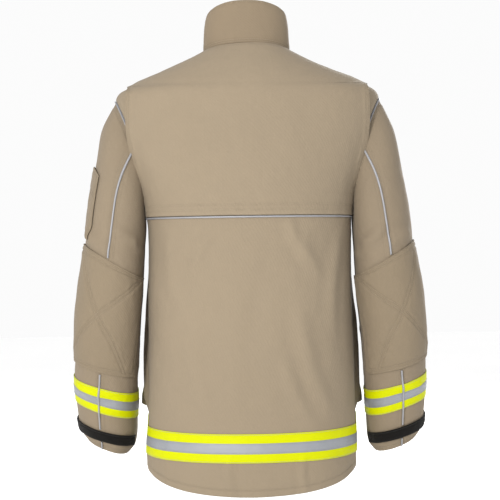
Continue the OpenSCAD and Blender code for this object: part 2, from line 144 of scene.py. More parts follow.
# the rings are ellipses with these powers, a little squarer than 2
BODY_POWER = 2.2
SLEEVE_POWER = 2.3
both = lambda a, b: np.broadcast_arrays(np.asarray(a, float), np.asarray(b, float))
spow = lambda v, e: np.sign(v) * np.abs(v) ** e
smooth = lambda t: np.clip(t, 0, 1) ** 2 * (3 - 2 * np.clip(t, 0, 1))
unit = lambda v: v / np.maximum(np.linalg.norm(v, axis=-1, keepdims=True), 1e-12)


def row(table, s):
    """A row of the table at the place s, smoothly between its own rows."""
    last = len(table) - 1
    i = np.clip(np.floor(s).astype(int), 0, last - 1)
    t = (s - i)[..., None]
    p0, p1, p2, p3 = table[np.maximum(i - 1, 0)], table[i], table[i + 1], table[np.minimum(i + 2, last)]
    return p1 + 0.5 * t * ((p2 - p0) + t * ((2 * p0 - 5 * p1 + 4 * p2 - p3) + t * (3 * (p1 - p2) + p3 - p0)))


def ring_point(table, a, s):
    """The point at angle a, from straight behind, on the ring at level s."""
    r, c, d, e = row(table, s), np.cos(np.radians(a)), np.sin(np.radians(a)), 2 / BODY_POWER
    return np.stack([
        r[..., 0] * spow(d, e),
        np.where(c > 0, r[..., 1], r[..., 2]) * spow(c, e),
        r[..., 4] + np.where(c > 0, r[..., 3] - r[..., 4], r[..., 4] - r[..., 5]) * c,
    ], -1)


def ringed(table):
    """The surface through the rings of a table, as points and normals."""
    last = len(table) - 1

    def surface(a, s):
        a, s = both(a, s)
        n = np.cross(
            ring_point(table, a + 0.5, s) - ring_point(table, a - 0.5, s),
            ring_point(table, a, np.minimum(s + 0.02, last)) - ring_point(table, a, np.maximum(s - 0.02, 0)))
        return ring_point(table, a, s), unit(n)
    return surface


on_body, on_collar = ringed(BODY), ringed(COLLAR)


def s_for(a, z):
    """The level of the body that is at height z, found by halving."""
    a, z = both(a, z)
    lo, hi = np.zeros(a.shape), np.full(a.shape, float(BODY_LAST))
    for _ in range(18):
        mid = (lo + hi) / 2
        above = ring_point(BODY, a, mid)[..., 2] > z
        lo, hi = np.where(above, mid, lo), np.where(above, hi, mid)
    return (lo + hi) / 2


on_body_z = lambda a, z: on_body(a, s_for(a, z))


def back_angle(x, s):
    """The angle, from straight behind, at which the ring is x out to the side."""
    width = row(BODY, np.asarray(s, float))[..., 0]
    return np.degrees(np.arcsin(np.clip(x / width, 0, 1) ** (BODY_POWER / 2)))


front_angle = lambda x, s: 180 - back_angle(x, s)

# the armhole: its middle level, its half turn in degrees, and what a growth of 1 adds to that
HOLE_LEVEL = 5
HOLE_TURN = 25.5
HOLE_GROW = 22


def hole_turn(s, grow):
    """How far the armhole reaches round the body to each side at level s."""
    u = (s - HOLE_LEVEL) / (1 + grow)
    return (HOLE_TURN + HOLE_GROW * grow) * np.sqrt(np.maximum(0, 1 - u * u))


def hole_place(f, grow):
    f = np.radians(f)
    return 90 - (HOLE_TURN + HOLE_GROW * grow) * np.sin(f), HOLE_LEVEL - (1 + grow) * np.cos(f)


def hole_point(f, grow):
    return ring_point(BODY, *hole_place(f, grow))


def sleeve_ring(f, t):
    r, e, p = row(SLEEVE, t), 2 / SLEEVE_POWER, np.radians(row(SLEEVE, t)[..., 6])
    u, v = spow(np.cos(np.radians(f)), e), spow(np.sin(np.radians(f)), e)
    return np.stack([
        (r[..., 0] + r[..., 2]) / 2 + (r[..., 0] - r[..., 2]) / 2 * u,
        r[..., 4] + r[..., 5] * np.cos(p) * v,
        (r[..., 1] + r[..., 3]) / 2 + (r[..., 1] - r[..., 3]) / 2 * u - r[..., 5] * np.sin(p) * v,
    ], -1)


def sleeve_point(f, t):
    """A point of the sleeve, which starts as the armhole and is a ring of its own from level 2."""
    w = (1 - smooth(t / 2))[..., None]
    return sleeve_ring(f, t) + w * (hole_point(f, -0.045) - sleeve_ring(f, np.zeros_like(t)))


def on_sleeve(f, t):
    f, t = both(f, t)
    n = np.cross(
        sleeve_point(f, np.minimum(t + 0.02, SLEEVE_LAST)) - sleeve_point(f, np.maximum(t - 0.02, 0)),
        sleeve_point(f + 0.5, t) - sleeve_point(f - 0.5, t))
    return sleeve_point(f, t), unit(n)


def zip_place(p):
    c, s = math.cos(ZIP_LEAN), math.sin(ZIP_LEAN)
    return np.stack([
        p[..., 0],
        -ZIP_DEPTH + p[..., 1] * c + p[..., 2] * s,
        ZIP_TOP - p[..., 1] * s + p[..., 2] * c,
    ], -1)


def on_zip(height):
    """A surface over the zip whose height above it is a function of the distance across."""
    def surface(x, z):
        x, z = both(x, z)
        slope = (height(x + 0.2) - height(x - 0.2)) / 0.4
        n = unit(np.stack([-slope, -np.ones_like(x), np.zeros_like(x)], -1))
        p = zip_place(np.stack([x, -height(x), z], -1))
        return p, zip_place(np.stack([x, -height(x), z], -1) + n) - p
    return surface


# -------- how the cloth leaves its smooth shape
# large odd numbers that scatter the corners of the noise's grid
HASH = (374761393, 668265263, 2147483647, 1274126177)


def noise3(p, seed):
    """Smooth noise from -1 to 1, the same on every run."""
    i = np.floor(p).astype(np.int64)
    f = p - i
    f = f * f * (3 - 2 * f)
    out = 0
    for step in np.ndindex(2, 2, 2):
        h = sum((i[..., k] + step[k]) * HASH[k] for k in range(3)) + seed * HASH[3]
        h = (h ^ (h >> 13)) * HASH[3] & 0xFFFFFFFF
        h = ((h ^ (h >> 16)) & 0xFFFF) / 32767.5 - 1
        x, y, z = (f[..., k] if step[k] else 1 - f[..., k] for k in range(3))
        out = out + h * (x * y * z)
    return out


def tree(points):
    kd = kdtree.KDTree(len(points))
    for k, p in enumerate(points):
        kd.insert(p, k)
    kd.balance()
    return kd


def distance(kd, p):
    flat = p.reshape(-1, 3)
    return np.array([kd.find(q)[2] for q in flat]).reshape(p.shape[:-1])


HOLE = hole_point(np.linspace(0, 360, 120), 0)
HOLES = tree(np.concatenate([HOLE, HOLE * [-1, 1, 1]]))


def folds(p, table):
    """Soft ridges with a hollow on both sides. Each row: two ends, width and height, in millimetres."""
    out = np.zeros(p.shape[:-1])
    for a, b, width, amp in table:
        a, b = np.array(a, float), np.array(b, float)
        d = b - a
        k = ((p - a) @ d) / (d @ d)
        bend = 0.12 * np.linalg.norm(d) * np.sin(np.pi * np.clip(k, 0, 1))
        side = unit(np.cross(d, [0, 1, 0]))
        q = p - a - np.clip(k, 0, 1)[..., None] * d - bend[..., None] * side * 0.5
        r = np.linalg.norm(q * [1, 0.45, 1], axis=-1) / width
        out += amp * (1 - 0.9 * r * r) * np.exp(-r * r) * smooth((k + 0.15) / 0.4) * smooth((1.15 - k) / 0.4)
    return out


BACK_FOLDS = [
    ((-70, 140, -318), (-108, 138, -392), 15, 2.6),
    ((-96, 140, -330), (-132, 132, -430), 17, 2.0),
    ((-88, 140, -470), (-150, 120, -668), 20, 2.6),
    ((-60, 140, -560), (-112, 136, -676), 17, 1.6),
    ((-93, 139, -728), (-96, 137, -800), 10, 2.2),
    ((62, 140, -330), (104, 138, -418), 16, 1.8),
    ((110, 138, -520), (70, 140, -660), 22, 1.6),
    ((150, 118, -330), (128, 128, -470), 18, 2.4),
    ((-168, 96, -330), (-150, 110, -520), 16, 2.2),
    ((0, 140, -390), (24, 140, -640), 30, 1.2),
    ((40, 139, -735), (34, 137, -798), 12, 1.4),
    ((150, 118, -700), (158, 110, -790), 14, 1.6),
]
FRONT_FOLDS = [
    ((120, -100, -300), (150, -70, -440), 18, 2.2),
    ((-110, -104, -420), (-150, -80, -480), 16, 1.8),
    ((70, -124, -300), (98, -118, -460), 20, 1.6),
    ((120, -112, -668), (140, -100, -740), 14, 1.8),
    ((-80, -130, -400), (-60, -132, -480), 18, 1.5),
]


# how strongly the broad sag and the folds are drawn
BODY_SAG, BODY_FOLD = 1.25, 2.1
ARM_SAG, ARM_FOLD = 1.2, 2.4


def torso_shift(p):
    low = 1.7 * noise3(p / 105 + 3.1, 1) + 0.55 * noise3(p / 38, 2) + 0.22 * noise3(p / 13, 5)
    upright = np.stack([p[..., 0] / 62, p[..., 1] / 62, p[..., 2] / 900], -1)
    hem = smooth((-560 - p[..., 2]) / 240) * 2.6 * noise3(upright, 3)
    near = smooth(distance(HOLES, p) / 46)
    # the side of each front stands out a little where the pocket pulls it
    x, y, z = abs(p[..., 0]), p[..., 1], p[..., 2]
    side = np.exp(-((y + 34) / 15) ** 2) * smooth((x - 130) / 40) * smooth((z + 684) / 60)
    low = low + side * (5 * smooth((-250 - z) / 80) + 8 * smooth((-390 - z) / 170))
    # both fronts lie flat beside the zip, under the storm flap
    calm = 1 - smooth((-60 - y) / 30) * smooth((80 - x) / 36)
    return (BODY_SAG * low + hem + BODY_FOLD * folds(p, BACK_FOLDS + FRONT_FOLDS)) * near * calm


ARM_FOLDS = [
    ((292, 40, -330), (240, 72, -372), 14, 2.4),
    ((205, 50, -352), (240, 74, -330), 12, 2.6),
    ((198, 20, -372), (228, 70, -352), 12, 2.2),
    ((212, -40, -372), (250, -82, -330), 13, 2.6),
    ((222, -60, -400), (272, -80, -372), 13, 2.2),
    ((200, -50, -470), (262, -92, -492), 12, 3.2),
    ((204, -40, -505), (272, -92, -518), 12, 3.0),
    ((214, -60, -540), (286, -86, -530), 12, 2.4),
    ((300, -20, -440), (270, -84, -470), 14, 2.0),
    ((308, 0, -605), (262, 38, -628), 14, 1.6),
    ((216, -40, -612), (244, 20, -588), 12, 2.2),
    ((222, -70, -660), (270, -108, -640), 12, 2.0),
]
# the right sleeve has the same folds, moved a little
MIRRORED = [((-a[0] + 3, a[1] + 6, a[2] - 9), (-b[0] - 2, b[1] + 2, b[2] + 6), width * 1.1, height * 0.9)
            for a, b, width, height in ARM_FOLDS]


def sleeve_shift(p):
    low = 2.0 * noise3(p / 78 + 7.7, 11) + 0.6 * noise3(p / 30, 12) + 0.22 * noise3(p / 12, 15)
    near = smooth((distance(HOLES, p) - 3) / 60)
    return (ARM_SAG * low + ARM_FOLD * folds(p, ARM_FOLDS + MIRRORED)) * near


# -------- mesh making
def spread(n, size, e0, e1):
    """Places from 0 to 1 with extra ones inside each rolled edge."""
    start = [0] if not e0 else [e0 * k / size for k in (0, 0.06, 0.2, 0.45, 0.75, 1)]
    end = [1] if not e1 else [1 - e1 * k / size for k in (1, 0.75, 0.45, 0.2, 0.06, 0)]
    middle = np.linspace(start[-1], end[0], n + 1)[1:-1]
    return np.concatenate([start, middle, end])


def new_object(name, verts, quads, uv=None, values=None):
    mesh = bpy.data.meshes.new(name)
    verts = np.asarray(verts, np.float32)
    loops = quads.reshape(-1)
    starts = np.arange(0, len(loops), quads.shape[1])
    mesh.vertices.add(len(verts))
    mesh.vertices.foreach_set("co", (verts * 0.001).reshape(-1))
    mesh.loops.add(len(loops))
    mesh.loops.foreach_set("vertex_index", loops.astype(np.int32))
    mesh.polygons.add(len(starts))
    mesh.polygons.foreach_set("loop_start", starts.astype(np.int32))
    if uv is not None:
        layer = mesh.uv_layers.new(name="cloth")
        layer.data.foreach_set("uv", uv[loops].astype(np.float32).reshape(-1))
    mesh.update(calc_edges=True)
    mesh.validate()
    for key, value in (values or {}).items():
        layer = mesh.attributes.new(key, "FLOAT", "POINT")
        layer.data.foreach_set("value", value.astype(np.float32).reshape(-1))
    mesh.polygons.foreach_set("use_smooth", np.full(len(mesh.polygons), True))
    o = bpy.data.objects.new(name, mesh)
    scene.collection.objects.link(o)
    return o


def place(o, how, material, nodes=()):
    o.data.materials.clear()
    o.data.materials.append(material)
    if how[0] == "ride":
        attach(o, how[1])
    else:
        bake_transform(o)
    if nodes:
        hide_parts(*nodes)
    return o


# one stitch is a short bar of four rings of four corners, closed at both ends
STITCH_FACES = np.array([
    [4 * i + j, 4 * i + (j + 1) % 4, 4 * i + 4 + (j + 1) % 4,
     4 * i + 4 + j] for i in range(3) for j in range(4)
] + [[0, 3, 2, 1], [12, 13, 14, 15]])
# place along it, thickness and height of each ring
STITCH_RINGS = ((-0.5, 0.35, -0.35), (-0.32, 1, 0), (0.32, 1, 0), (0.5, 0.35, -0.35))


def stitches(name, lines, how, material, pitch, length, radius):
    """Thread along lines of points and normals."""
    V, Q = [], []
    for points, normals in lines:
        along = np.concatenate([[0], np.cumsum(np.linalg.norm(np.diff(points, axis=0), axis=1))])
        if along[-1] < pitch * 2:
            continue
        at = np.arange(pitch / 2, along[-1] - pitch / 2, pitch)
        pick = lambda at, values: np.stack([np.interp(at, along, values[:, k]) for k in range(3)], -1)
        p, n = pick(at, points), pick(at, normals)
        t = unit(pick(at + 0.5, points) - p)
        n = unit(n - (n * t).sum(-1, keepdims=True) * t)
        b = np.cross(n, t)
        rings = []
        for k, r, up in STITCH_RINGS:
            c = p + t * length * k + n * radius * up
            rings.append([c + b * radius * r, c + n * radius * r * 0.8, c - b * radius * r,
                          c - n * radius * r * 0.8])
        first = sum(len(v) for v in V) + 16 * np.arange(len(p))[:, None, None]
        Q.append((first + STITCH_FACES[None]).reshape(-1, 4))
        V.append(np.array(rings).transpose(2, 0, 1, 3).reshape(-1, 3))
    o = new_object(name, np.concatenate(V), np.concatenate(Q))
    return place(o, how, material)


SEAM_DEPTH = 0.8


def panel(name, surface, size, counts, low, high, how, material, slot=None, nodes=(), edges=(2, 2, 2, 2),
          loop=False,
          shift=None, shift_in=None, lines=(), flip=False, depth=SEAM_DEPTH, thread=None, vs=None,
          pucker=0.55,
          thread_size=(3.4, 2.5, 0.42)):
    """A piece of cloth with two faces and rolled edges.

    surface(u, v) gives points and normals. low and high are the offsets of its faces. edges are the
    rolled widths at u=0, u=1, v=0 and v=1; None leaves that edge open. lines are (u, v) paths of
    stitching, which also sink and pucker the cloth."""
    us = np.arange(counts[0]) / counts[0] if loop else spread(counts[0], size[0], edges[0] or 0,
          edges[1] or 0)
    vs = spread(counts[1], size[1], edges[2] or 0, edges[3] or 0) if vs is None else vs
    U, V = np.meshgrid(us, vs)
    side = [-1, 1, 1] if flip else [1, 1, 1]
    P, N = (x * side for x in surface(U, V))
    value = lambda x, u, v: x(u, v) if callable(x) else np.full(u.shape, float(x))
    H, L = value(high, U, V), value(low, U, V)
    D = shift(P) if shift else np.zeros(U.shape)
    # rolled edges
    away = (U * size[0], (1 - U) * size[0], V * size[1], (1 - V) * size[1])
    drop, edge = np.zeros(U.shape), np.zeros(U.shape)
    for k, (width, gap) in enumerate(zip(edges, away)):
        if width and not (loop and k < 2):
            x = np.clip(1 - gap / width, 0, 1)
            drop = np.maximum(drop, (H - L) / 2 * (1 - np.sqrt(1 - x * x)))
            edge = np.maximum(edge, np.exp(-gap / 3.0))
    # stitched lines
    paths, seam, made = [], np.zeros(U.shape), []
    for pu, pv in lines:
        pu, pv = both(pu, pv)
        if len(pu) < 200:
            fine, given = np.linspace(0, 1, 240), np.linspace(0, 1, len(pu))
            pu, pv = np.interp(fine, given, pu), np.interp(fine, given, pv)
        p, n = (x * side for x in surface(pu, pv))
        d = shift(p) if shift else 0
        paths.append(p)
        made.append((p + n * (value(high, pu, pv) + d - depth + 0.28)[:, None], n))
    S = np.zeros(U.shape)
    if paths:
        far = distance(tree(np.concatenate(paths)), P)
        S = -depth * np.exp(-(far / 1.9) ** 2)
        S += np.exp(-(far / 11) ** 2) * pucker * noise3(P / 7.5, 21) * (1 - np.exp(-(far / 2.2) ** 2))
        # the seam attribute marks the stitching, where the materials paint shade into the grooves
        seam = np.exp(-(far / 2.2) ** 2)
    quilting = shift_in(P) if shift_in else 0
    inner = P + N * (L + D + drop - quilting)[..., None]
    outer = P + N * (H + D + S - drop)[..., None]
    nv, nu = U.shape
    a = np.arange(nv * nu).reshape(nv, nu)
    b = a + nv * nu
    if not loop:
        if edges[0]:
            b[:, 0] = a[:, 0]
        if edges[1]:
            b[:, -1] = a[:, -1]
    if edges[2]:
        b[0] = a[0]
    if edges[3]:
        b[-1] = a[-1]
    if loop:
        a, b = np.concatenate([a, a[:, :1]], 1), np.concatenate([b, b[:, :1]], 1)
    quad = lambda g: np.stack([g[:-1, :-1], g[1:, :-1], g[1:, 1:], g[:-1, 1:]], -1).reshape(-1, 4)
    verts = np.concatenate([outer.reshape(-1, 3), inner.reshape(-1, 3)])
    qa, qb = quad(a), quad(b)[:, ::-1]
    f = qa[len(qa) // 2]
    pts = verts[f]
    if (np.cross(pts[1] - pts[0], pts[2] - pts[0]) * N.reshape(-1, 3)[f[0]]).sum() < 0:
        qa, qb = qa[:, ::-1], qb[:, ::-1]
    uv = np.stack([U * size[0], V * size[1]], -1).reshape(-1, 2) * 0.001
    two = lambda x: np.concatenate([x.reshape(-1), x.reshape(-1)])
    o = new_object(name, verts, np.concatenate([qa, qb]), np.concatenate([uv, uv]),
                   {"edge": two(edge), "seam": two(seam)})
    place(o, how, material, nodes)
    if thread and made:
        stitches("thread_" + name, made, how, thread, *thread_size)
    return o


def merge(name, parts, how, material, nodes=()):
    """Joins freshly made objects of the same kind into one."""
    for o in parts:
        o.parent = None
    with bpy.context.temp_override(active_object=parts[0], selected_editable_objects=parts, object=parts[0]):
        bpy.ops.object.join()
    parts[0].name = name
    return place(parts[0], how, material, nodes)


def band(surface_z, a0, a1, z0, z1):
    """u over angles and v over heights, each a number or a function of the other."""
    def surface(u, v):
        a = a0 + (a1 - a0) * u
        top = z0(a) if callable(z0) else z0
        foot = z1(a) if callable(z1) else z1
        return surface_z(a, top + (foot - top) * v)
    return surface


def frame_lines(size, insets, sides="udlr"):
    """Stitching at each inset from the upper, lower, left and right edges of a piece."""
    k = np.linspace(0, 1, 60)
    out = []
    for inset in insets:
        x, y = inset / size[0], inset / size[1]
        across, down = x + (1 - 2 * x) * k, y + (1 - 2 * y) * k
        every = (("l", x, down), ("r", 1 - x, down), ("u", across, y), ("d", across, 1 - y))
        out += [(u, v) for side, u, v in every if side in sides]
    return out


def rows_down(places, start, end, count):
    """The same row of stitching, from start to end down the piece, at each place across it."""
    return [(x, np.linspace(start, end, count)) for x in places]


# -------- materials
class Net:
    """A material, with short ways to add and join its shader nodes."""

    def __init__(self, name):
        self.material = bpy.data.materials.new(name)
        self.material.use_nodes = True
        self.t = self.material.node_tree

    def node(self, kind, **inputs):
        n = self.t.nodes.new("ShaderNode" + kind)
        for k, v in inputs.items():
            socket = n.inputs[k.replace("_", " ")] if k.replace("_", " ") in n.inputs else n.inputs[k]
            self.put(socket, v)
        return n

    def put(self, socket, v):
        if isinstance(v, bpy.types.NodeSocket):
            self.t.links.new(v, socket)
        else:
            socket.default_value = v

    def maths(self, op, a, b):
        n = self.t.nodes.new("ShaderNodeMath")
        n.operation = op
        self.put(n.inputs[0], a)
        self.put(n.inputs[1], b)
        return n.outputs[0]

    def times(self, a, b):
        return self.maths("MULTIPLY", a, b)

    def mix(self, factor, a, b):
        n = self.t.nodes.new("ShaderNodeMix")
        n.data_type = "RGBA"
        self.put(n.inputs[0], factor)
        self.put(n.inputs[6], a)
        self.put(n.inputs[7], b)
        return n.outputs[2]

    def attribute(self, name):
        n = self.t.nodes.new("ShaderNodeAttribute")
        n.attribute_name = name
        return n.outputs["Fac"]

    def uv(self, turn=0.0):
        n = self.t.nodes.new("ShaderNodeUVMap")
        n.uv_map = "cloth"
        m = self.node("Mapping", Vector=n.outputs[0])
        m.inputs["Rotation"].default_value = (0, 0, turn)
        return m.outputs[0]

    def finish(self, **surface):
        """Joins or sets these sockets of the surface and gives the material."""
        inputs = self.t.nodes["Principled BSDF"].inputs
        for key, v in surface.items():
            self.put(inputs[key.replace("_", " ")], v)
        return self.material

    def space(self):
        return self.t.nodes.new("ShaderNodeTexCoord").outputs["Object"]

    def noise(self, vector, scale, detail=3.0, rough=0.55):
        n = self.node("TexNoise", Vector=vector, Scale=scale, Detail=detail, Roughness=rough)
        return n.outputs["Fac"]

    def wave(self, vector, period, direction="X", distortion=0.0):
        n = self.node("TexWave", Vector=vector, Scale=0.31416 / period, Distortion=distortion)
        n.inputs["Detail Scale"].default_value = 2.0
        n.bands_direction = direction
        return n.outputs["Fac"]

    def ramp(self, factor, low, high, a=0.0, b=1.0):
        n = self.t.nodes.new("ShaderNodeMapRange")
        self.put(n.inputs["Value"], factor)
        for k, v in (("From Min", low), ("From Max", high), ("To Min", a), ("To Max", b)):
            n.inputs[k].default_value = v
        return n.outputs[0]

    def bump(self, height, depth, strength=1.0, normal=None):
        n = self.node("Bump", Height=height, Distance=depth, Strength=strength)
        if normal is not None:
            self.t.links.new(normal, n.inputs["Normal"])
        return n.outputs[0]


# the lights are strong, so every surface is this much darker than its colour in the photo
DARKER = 0.75


def srgb(r, g, b):
    f = lambda c: ((c / 255 + 0.055) / 1.055) ** 2.4 if c > 10 else c / 255 / 12.92
    return (DARKER * f(r), DARKER * f(g), DARKER * f(b), 1)


def tint(colour, factor, lift=0.0):
    return tuple(min(1, x * factor + lift) for x in colour[:3]) + (1,)


def cloth(name, colour, weave=0.0013, twill=True, weave_depth=0.00016, slub=0.05, mottle=0.07, rough=0.86,
          sheen=0.06,
          edge_light=0.10, groove_shade=0.09, crumple=0.0015):
    n = Net(name)
    uv, at = n.uv(), n.space()
    warp, weft = n.wave(uv, weave, "X", 0.6), n.wave(uv, weave, "Y", 0.6)
    yarn = n.wave(uv, weave * 2.1, "DIAGONAL", 0.9) if twill else n.times(warp, weft)
    body = n.maths("ADD", n.times(yarn, 0.6), n.times(n.times(warp, weft), 0.4))
    fine = n.noise(at, 900, 2, 0.6)
    streak = n.node("Mapping", Vector=uv)
    streak.inputs["Scale"].default_value = (1, 0.06, 1)
    slubs = n.noise(streak.outputs[0], 420, 3, 0.7)
    broad, middle = n.noise(at, 7, 3), n.noise(at, 48, 4, 0.65)
    dark, pale = tint(colour, 0.80), tint(colour, 1.16)
    c = n.mix(n.ramp(broad, 0.3, 0.7, 0, mottle * 4), colour, dark)
    c = n.mix(n.ramp(middle, 0.35, 0.75, 0, mottle * 3), c, pale)
    c = n.mix(n.ramp(body, 0, 1, 0.22, 0), c, dark)
    c = n.mix(n.ramp(slubs, 0.3, 0.75, slub * 4, 0), c, dark)
    c = n.mix(n.ramp(fine, 0.3, 0.8, 0.16, 0), c, dark)
    edge = n.times(n.attribute("edge"), n.ramp(middle, 0.3, 0.7, edge_light * 0.4, edge_light * 2))
    c = n.mix(edge, c, pale)
    # painted shade: the cloth is darkened along its stitched grooves
    c = n.mix(n.times(n.attribute("seam"), groove_shade), c, tint(colour, 0.45))
    b = n.bump(n.noise(at, 26, 4, 0.6), crumple * 2.2, 0.6)
    b = n.bump(n.noise(at, 110, 3, 0.6), crumple * 0.45, 0.7, b)
    b = n.bump(n.maths("ADD", body, n.times(slubs, 0.7)), weave_depth, 0.9, b)
    return n.finish(Base_Color=c, Roughness=n.ramp(middle, 0.2, 0.8, rough - 0.06, min(1, rough + 0.06)),
                    Normal=b, Sheen_Weight=sheen, Sheen_Roughness=0.5, Specular_IOR_Level=0.25)


def fuzz(name, colour, scale=1500, depth=0.0007, rough=0.95):
    """Hook and loop tape: short matted pile."""
    n = Net(name)
    at = n.space()
    a, b = n.noise(at, scale, 4, 0.8), n.noise(at, scale * 0.16, 3, 0.6)
    curl = n.node("TexVoronoi", Vector=at, Scale=scale * 0.55).outputs["Distance"]
    pale = tint(colour, 2.0, 0.004)
    c = n.mix(n.ramp(a, 0.4, 0.75, 0, 0.6), colour, pale)
    c = n.mix(n.ramp(b, 0.45, 0.75, 0, 0.4), c, pale)
    c = n.mix(n.times(n.attribute("edge"), 0.5), c, pale)
    pile = n.bump(curl, depth * 0.6, 0.8, n.bump(a, depth, 0.8))
    return n.finish(Base_Color=c, Roughness=n.ramp(b, 0.2, 0.8, rough - 0.1, rough), Normal=pile,
                    Sheen_Weight=0.04, Specular_IOR_Level=0.1)


def tape_with_painted_glow(name, colour):
    """Knitted yellow tape, a bit soiled, with a little painted glow from emission."""
    n = Net(name)
    uv, at = n.uv(), n.space()
    knit = n.times(n.wave(uv, 0.0012, "X", 0.3), n.wave(uv, 0.0009, "Y", 0.3))
    soil = n.noise(at, 38, 5, 0.7)
    dark = tint(colour, 0.78)
    c = n.mix(n.ramp(knit, 0, 1, 0.35, 0), colour, dark)
    c = n.mix(n.ramp(soil, 0.5, 0.85, 0, 0.35), c, dark)
    # painted shade along the stitched grooves
    c = n.mix(n.times(n.attribute("seam"), 0.35), c, dark)
    surface = n.bump(knit, 0.00012, 0.8, n.bump(n.noise(at, 60, 3), 0.0007, 0.5))
    # painted glow: the emission makes the tape shine of itself, brighter than the lamps light it
    return n.finish(Base_Color=c, Roughness=n.ramp(soil, 0.2, 0.8, 0.42, 0.6), Normal=surface,
                    Emission_Color=c,
                    Emission_Strength=0.12, Specular_IOR_Level=0.08)


# an eighth of a turn
DIAGONAL = 0.785


def silver(name, colour, beads=0.0016):
    """Retroreflective band: fine beads in a diamond grid."""
    n = Net(name)
    uv, at = n.uv(DIAGONAL), n.space()
    each = [n.ramp(n.wave(uv, beads * 1.9, way), 0.86, 1, 0, 1) for way in "XY"]
    diamonds = n.maths("MAXIMUM", *each)
    bead = n.node("TexVoronoi", Vector=at, Scale=2600).outputs["Distance"]
    cloud = n.noise(at, 30, 4, 0.7)
    dark = tint(colour, 0.7)
    c = n.mix(n.times(diamonds, 0.45), colour, dark)
    c = n.mix(n.ramp(cloud, 0.4, 0.8, 0, 0.35), c, dark)
    # painted shade along the stitched grooves
    c = n.mix(n.times(n.attribute("seam"), 0.3), c, dark)
    surface = n.bump(bead, 0.00008, 0.6, n.bump(diamonds, 0.00012, 0.7))
    return n.finish(Base_Color=c, Roughness=n.ramp(cloud, 0.2, 0.8, 0.38, 0.55), Normal=surface,
                    Metallic=0.25)


def metal(name, colour, rough=0.34):
    n = Net(name)
    at = n.space()
    scratch = n.node("Mapping", Vector=at)
    scratch.inputs["Scale"].default_value = (1, 1, 0.12)
    streaks, cloud = n.noise(scratch.outputs[0], 3200, 3, 0.7), n.noise(at, 170, 4, 0.7)
    c = n.mix(n.ramp(cloud, 0.42, 0.75, 0, 0.6), colour, tint(colour, 0.62))
    wear = n.maths("ADD", streaks, n.times(cloud, 0.6))
    surface = n.bump(streaks, 0.00004, 0.6, n.bump(cloud, 0.0002, 0.3))
    worn = n.ramp(wear, 0.5, 1.1, rough - 0.1, rough + 0.16)
    return n.finish(Base_Color=c, Roughness=worn, Normal=surface, Metallic=1.0)


def yarn(name, colour):
    n = Net(name)
    twist = n.noise(n.space(), 1600, 2, 0.6)
    c = n.mix(n.ramp(twist, 0.35, 0.7, 0, 0.5), colour, tint(colour, 0.6))
    return n.finish(Base_Color=c, Roughness=n.ramp(twist, 0.3, 0.7, 0.6, 0.8),
                    Normal=n.bump(twist, 0.0002, 0.6))


SHELL = cloth("shell_twill", srgb(153, 138, 116))
# painted shade: the sleeves are the shell's twill, drawn a little darker because they sit in less light
SHADED_SLEEVE_CLOTH = cloth("sleeve_twill_shaded", srgb(145, 130, 109))
COLLAR_CLOTH = cloth("collar_twill", srgb(142, 126, 104), edge_light=0.14)
PATCH = cloth("patch_twill", srgb(142, 127, 105), weave=0.0015, mottle=0.09, edge_light=0.16)
LINER = cloth("liner_weave", srgb(58, 58, 66), weave=0.0016, twill=False, sheen=0.3, rough=0.7)
KNIT = cloth("rib_knit", srgb(34, 32, 32), weave=0.0022, twill=False, weave_depth=0.0005, sheen=0.35)
PIPING = silver("piping_silver", srgb(170, 170, 174), beads=0.0011)
YELLOW = tape_with_painted_glow("tape_yellow", srgb(208, 214, 0))
SILVER = silver("tape_silver", srgb(157, 160, 165))
PILE = fuzz("hook_and_loop", srgb(16, 14, 12))
WEBBING = cloth("webbing_weave", srgb(34, 32, 31), weave=0.0011, twill=False, weave_depth=0.0004)
METAL = metal("zip_nickel", srgb(186, 184, 180))
THREAD = yarn("thread_tan", srgb(160, 145, 122))
THREAD_DARK = yarn("thread_black", srgb(30, 28, 26))
THREAD_GREY = yarn("thread_grey", srgb(168, 170, 172))

# -------- shell of the body
ride = lambda body: ("ride", body)
TORSO = ride("torso")
LEFT, RIGHT = 1, -1
SIDES = (("left", LEFT), ("right", RIGHT))
# degrees left free at each side seam, and millimetres beside the middle of the front
GAP = 0.12
FRONT_EDGE = 6.5
STITCH_ABOVE_HEM = 12
# how much larger than the armhole the openings in shell and liner are
SHELL_GROW = 0.045
LINER_GROW = 0.09
# the rows of points down the body crowd at its two ends and where the armhole starts and stops
BODY_ROWS = np.concatenate([
    np.linspace(0, 0.02, 3),
    np.linspace(0.06, 3.9, 62),
    HOLE_LEVEL - (1 + SHELL_GROW) * np.cos(np.linspace(0, math.pi, 76)),
    np.linspace(6.08, 8.9, 112),
    BODY_LAST - np.array([0.06, 0.035, 0.02, 0.01, 0.003, 0]),
])
# a whole seam, from end to end
ALONG = np.linspace(0, 1, 200)


def back_edge(s):
    return 90 - GAP - hole_turn(s, SHELL_GROW)


def front_edges(s):
    return 90 + GAP + hole_turn(s, SHELL_GROW), front_angle(FRONT_EDGE, s)


def back_surface(u, v):
    s = BODY_LAST * v
    e = back_edge(s)
    return on_body(-e + 2 * e * u, s)


def front_surface(u, v):
    s = BODY_LAST * v
    a0, a1 = front_edges(s)
    return on_body(a0 + (a1 - a0) * u, s)


def back_uv(a, z):
    s = s_for(a, z)
    e = back_edge(s)
    return (a + e) / (2 * e), s / BODY_LAST


def front_uv(a, z):
    s = s_for(a, z)
    a0, a1 = front_edges(s)
    return (a - a0) / (a1 - a0), s / BODY_LAST


def hem_z(a):
    return ring_point(BODY, np.asarray(a, float), np.full(np.shape(a), 9.0))[..., 2]


